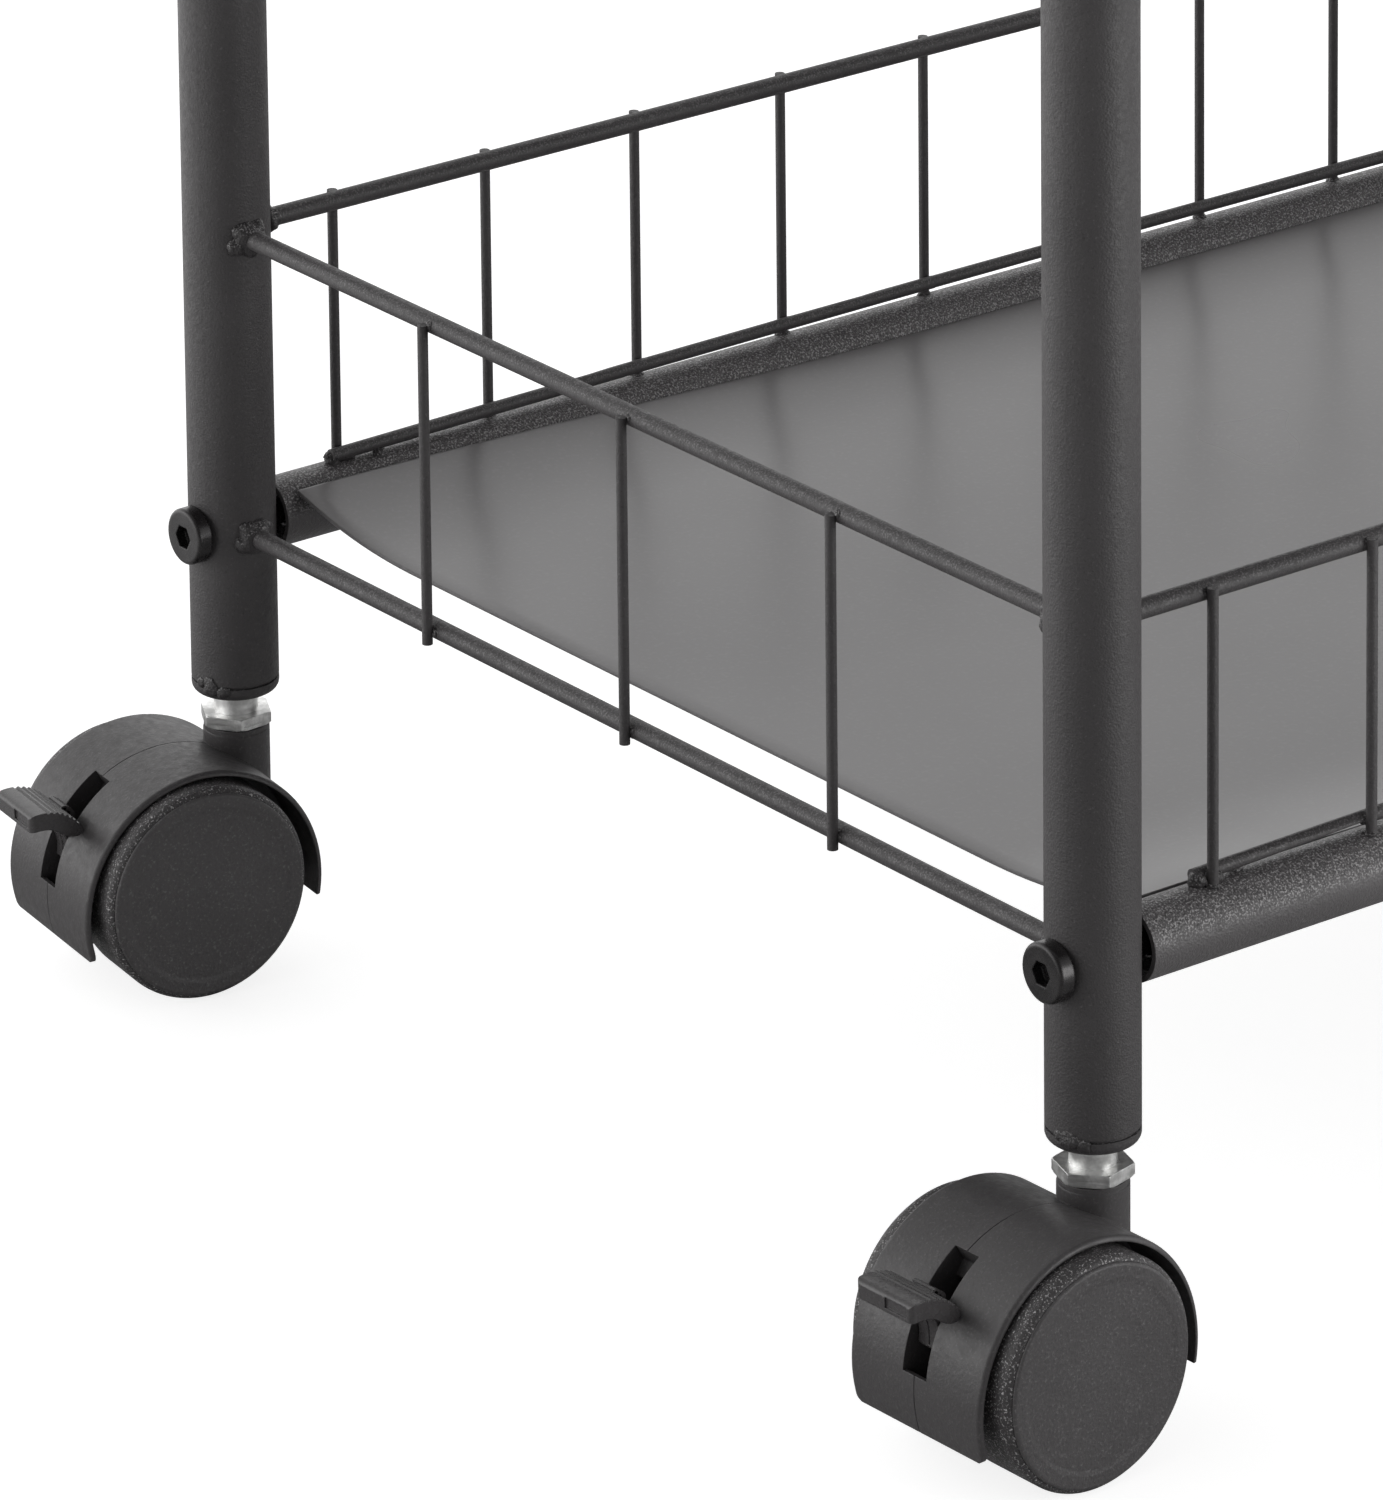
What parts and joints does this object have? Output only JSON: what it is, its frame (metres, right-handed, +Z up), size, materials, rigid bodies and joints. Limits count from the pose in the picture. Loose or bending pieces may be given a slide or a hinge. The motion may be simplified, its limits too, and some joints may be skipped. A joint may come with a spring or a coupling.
{
  "type": "wire shelf cart",
  "caption": "Rolling cart with wire-railed shelves bolted between two bent-tube end frames, on twin-wheel swivel casters with foot brakes.",
  "frame": {"origin": "on the floor under the centre of the cart", "axes": "+X along the length of the shelves from the left end frame to the right one, +Y from front to back, +Z up"},
  "size_m": [0.6492, 0.367, 0.85],
  "materials": {
    "frame_paint": "fine-textured charcoal powder coat",
    "panel_paint": "satin grey powder coat",
    "caster_plastic": "matte dark grey moulded plastic",
    "tread": "matte dark grey tread",
    "zinc": "bright zinc plate",
    "black_oxide": "black oxide steel"
  },
  "bodies": {
    "cart_frame": {"left_end_tube": "frame_paint", "left_end_rail_lower": "frame_paint", "left_end_rail_middle": "frame_paint", "left_end_rail_upper": "frame_paint", "right_end_tube": "frame_paint", "right_end_rail_lower": "frame_paint", "right_end_rail_middle": "frame_paint", "right_end_rail_upper": "frame_paint", "lower_front_tube": "frame_paint", "lower_front_gallery": "frame_paint", "lower_back_tube": "frame_paint", "lower_back_gallery": "frame_paint", "lower_panel": "panel_paint", "middle_front_tube": "frame_paint", "middle_front_gallery": "frame_paint", "middle_back_tube": "frame_paint", "middle_back_gallery": "frame_paint", "middle_panel": "panel_paint", "upper_front_tube": "frame_paint", "upper_front_gallery": "frame_paint", "upper_back_tube": "frame_paint", "upper_back_gallery": "frame_paint", "upper_panel": "panel_paint", "shelf_bolts": "black_oxide", "shelf_tube_nuts": "zinc", "post_threaded_inserts": "frame_paint", "stem_snap_rings": "zinc", "caster_fl_stem": "zinc", "caster_bl_stem": "zinc", "caster_fr_stem": "zinc", "caster_br_stem": "zinc"},
    "caster_fl_swivel": {"caster_fl_hood": "caster_plastic", "caster_fl_axle": "zinc"},
    "caster_fl_wheel_a": {"caster_fl_wheel_a_core": "caster_plastic", "caster_fl_wheel_a_tread": "tread"},
    "caster_fl_wheel_b": {"caster_fl_wheel_b_core": "caster_plastic", "caster_fl_wheel_b_tread": "tread"},
    "caster_fl_lever": {"caster_fl_brake_lever": "caster_plastic"},
    "caster_bl_swivel": {"caster_bl_hood": "caster_plastic", "caster_bl_axle": "zinc"},
    "caster_bl_wheel_a": {"caster_bl_wheel_a_core": "caster_plastic", "caster_bl_wheel_a_tread": "tread"},
    "caster_bl_wheel_b": {"caster_bl_wheel_b_core": "caster_plastic", "caster_bl_wheel_b_tread": "tread"},
    "caster_bl_lever": {"caster_bl_brake_lever": "caster_plastic"},
    "caster_fr_swivel": {"caster_fr_hood": "caster_plastic", "caster_fr_axle": "zinc"},
    "caster_fr_wheel_a": {"caster_fr_wheel_a_core": "caster_plastic", "caster_fr_wheel_a_tread": "tread"},
    "caster_fr_wheel_b": {"caster_fr_wheel_b_core": "caster_plastic", "caster_fr_wheel_b_tread": "tread"},
    "caster_fr_lever": {"caster_fr_brake_lever": "caster_plastic"},
    "caster_br_swivel": {"caster_br_hood": "caster_plastic", "caster_br_axle": "zinc"},
    "caster_br_wheel_a": {"caster_br_wheel_a_core": "caster_plastic", "caster_br_wheel_a_tread": "tread"},
    "caster_br_wheel_b": {"caster_br_wheel_b_core": "caster_plastic", "caster_br_wheel_b_tread": "tread"},
    "caster_br_lever": {"caster_br_brake_lever": "caster_plastic"}
  },
  "joints": [
    {"name": "caster_fl_swivel_turn", "type": "hinge", "parent": "cart_frame", "child": "caster_fl_swivel", "pos_m": [-0.2675, -0.153, 0.045], "axis": [0, 0, 1], "continuous": true},
    {"name": "caster_fl_wheel_a_roll", "type": "hinge", "parent": "caster_fl_swivel", "child": "caster_fl_wheel_a", "pos_m": [-0.28748, -0.1538, 0.025], "axis": [-0.0401, 0.9992, 0], "continuous": true},
    {"name": "caster_fl_wheel_b_roll", "type": "hinge", "parent": "caster_fl_swivel", "child": "caster_fl_wheel_b", "pos_m": [-0.28748, -0.1538, 0.025], "axis": [-0.0401, 0.9992, 0], "continuous": true},
    {"name": "caster_fl_brake_press", "type": "hinge", "parent": "caster_fl_swivel", "child": "caster_fl_lever", "pos_m": [-0.29608, -0.15415, 0.0277], "axis": [-0.0401, 0.9992, 0], "range_deg": [-17, 15]},
    {"name": "caster_bl_swivel_turn", "type": "hinge", "parent": "cart_frame", "child": "caster_bl_swivel", "pos_m": [-0.2675, 0.153, 0.045], "axis": [0, 0, 1], "continuous": true},
    {"name": "caster_bl_wheel_a_roll", "type": "hinge", "parent": "caster_bl_swivel", "child": "caster_bl_wheel_a", "pos_m": [-0.28732, 0.15568, 0.025], "axis": [0.134, 0.991, 0], "continuous": true},
    {"name": "caster_bl_wheel_b_roll", "type": "hinge", "parent": "caster_bl_swivel", "child": "caster_bl_wheel_b", "pos_m": [-0.28732, 0.15568, 0.025], "axis": [0.134, 0.991, 0], "continuous": true},
    {"name": "caster_bl_brake_press", "type": "hinge", "parent": "caster_bl_swivel", "child": "caster_bl_lever", "pos_m": [-0.29584, 0.15683, 0.0277], "axis": [0.134, 0.991, 0], "range_deg": [-17, 15]},
    {"name": "caster_fr_swivel_turn", "type": "hinge", "parent": "cart_frame", "child": "caster_fr_swivel", "pos_m": [0.2675, -0.153, 0.045], "axis": [0, 0, 1], "continuous": true},
    {"name": "caster_fr_wheel_a_roll", "type": "hinge", "parent": "caster_fr_swivel", "child": "caster_fr_wheel_a", "pos_m": [0.28732, -0.15568, 0.025], "axis": [-0.134, -0.991, 0], "continuous": true},
    {"name": "caster_fr_wheel_b_roll", "type": "hinge", "parent": "caster_fr_swivel", "child": "caster_fr_wheel_b", "pos_m": [0.28732, -0.15568, 0.025], "axis": [-0.134, -0.991, 0], "continuous": true},
    {"name": "caster_fr_brake_press", "type": "hinge", "parent": "caster_fr_swivel", "child": "caster_fr_lever", "pos_m": [0.29584, -0.15683, 0.0277], "axis": [-0.134, -0.991, 0], "range_deg": [-17, 15]},
    {"name": "caster_br_swivel_turn", "type": "hinge", "parent": "cart_frame", "child": "caster_br_swivel", "pos_m": [0.2675, 0.153, 0.045], "axis": [0, 0, 1], "continuous": true},
    {"name": "caster_br_wheel_a_roll", "type": "hinge", "parent": "caster_br_swivel", "child": "caster_br_wheel_a", "pos_m": [0.28748, 0.1538, 0.025], "axis": [0.0401, -0.9992, 0], "continuous": true},
    {"name": "caster_br_wheel_b_roll", "type": "hinge", "parent": "caster_br_swivel", "child": "caster_br_wheel_b", "pos_m": [0.28748, 0.1538, 0.025], "axis": [0.0401, -0.9992, 0], "continuous": true},
    {"name": "caster_br_brake_press", "type": "hinge", "parent": "caster_br_swivel", "child": "caster_br_lever", "pos_m": [0.29608, 0.15415, 0.0277], "axis": [0.0401, -0.9992, 0], "range_deg": [-17, 15]}
  ]
}
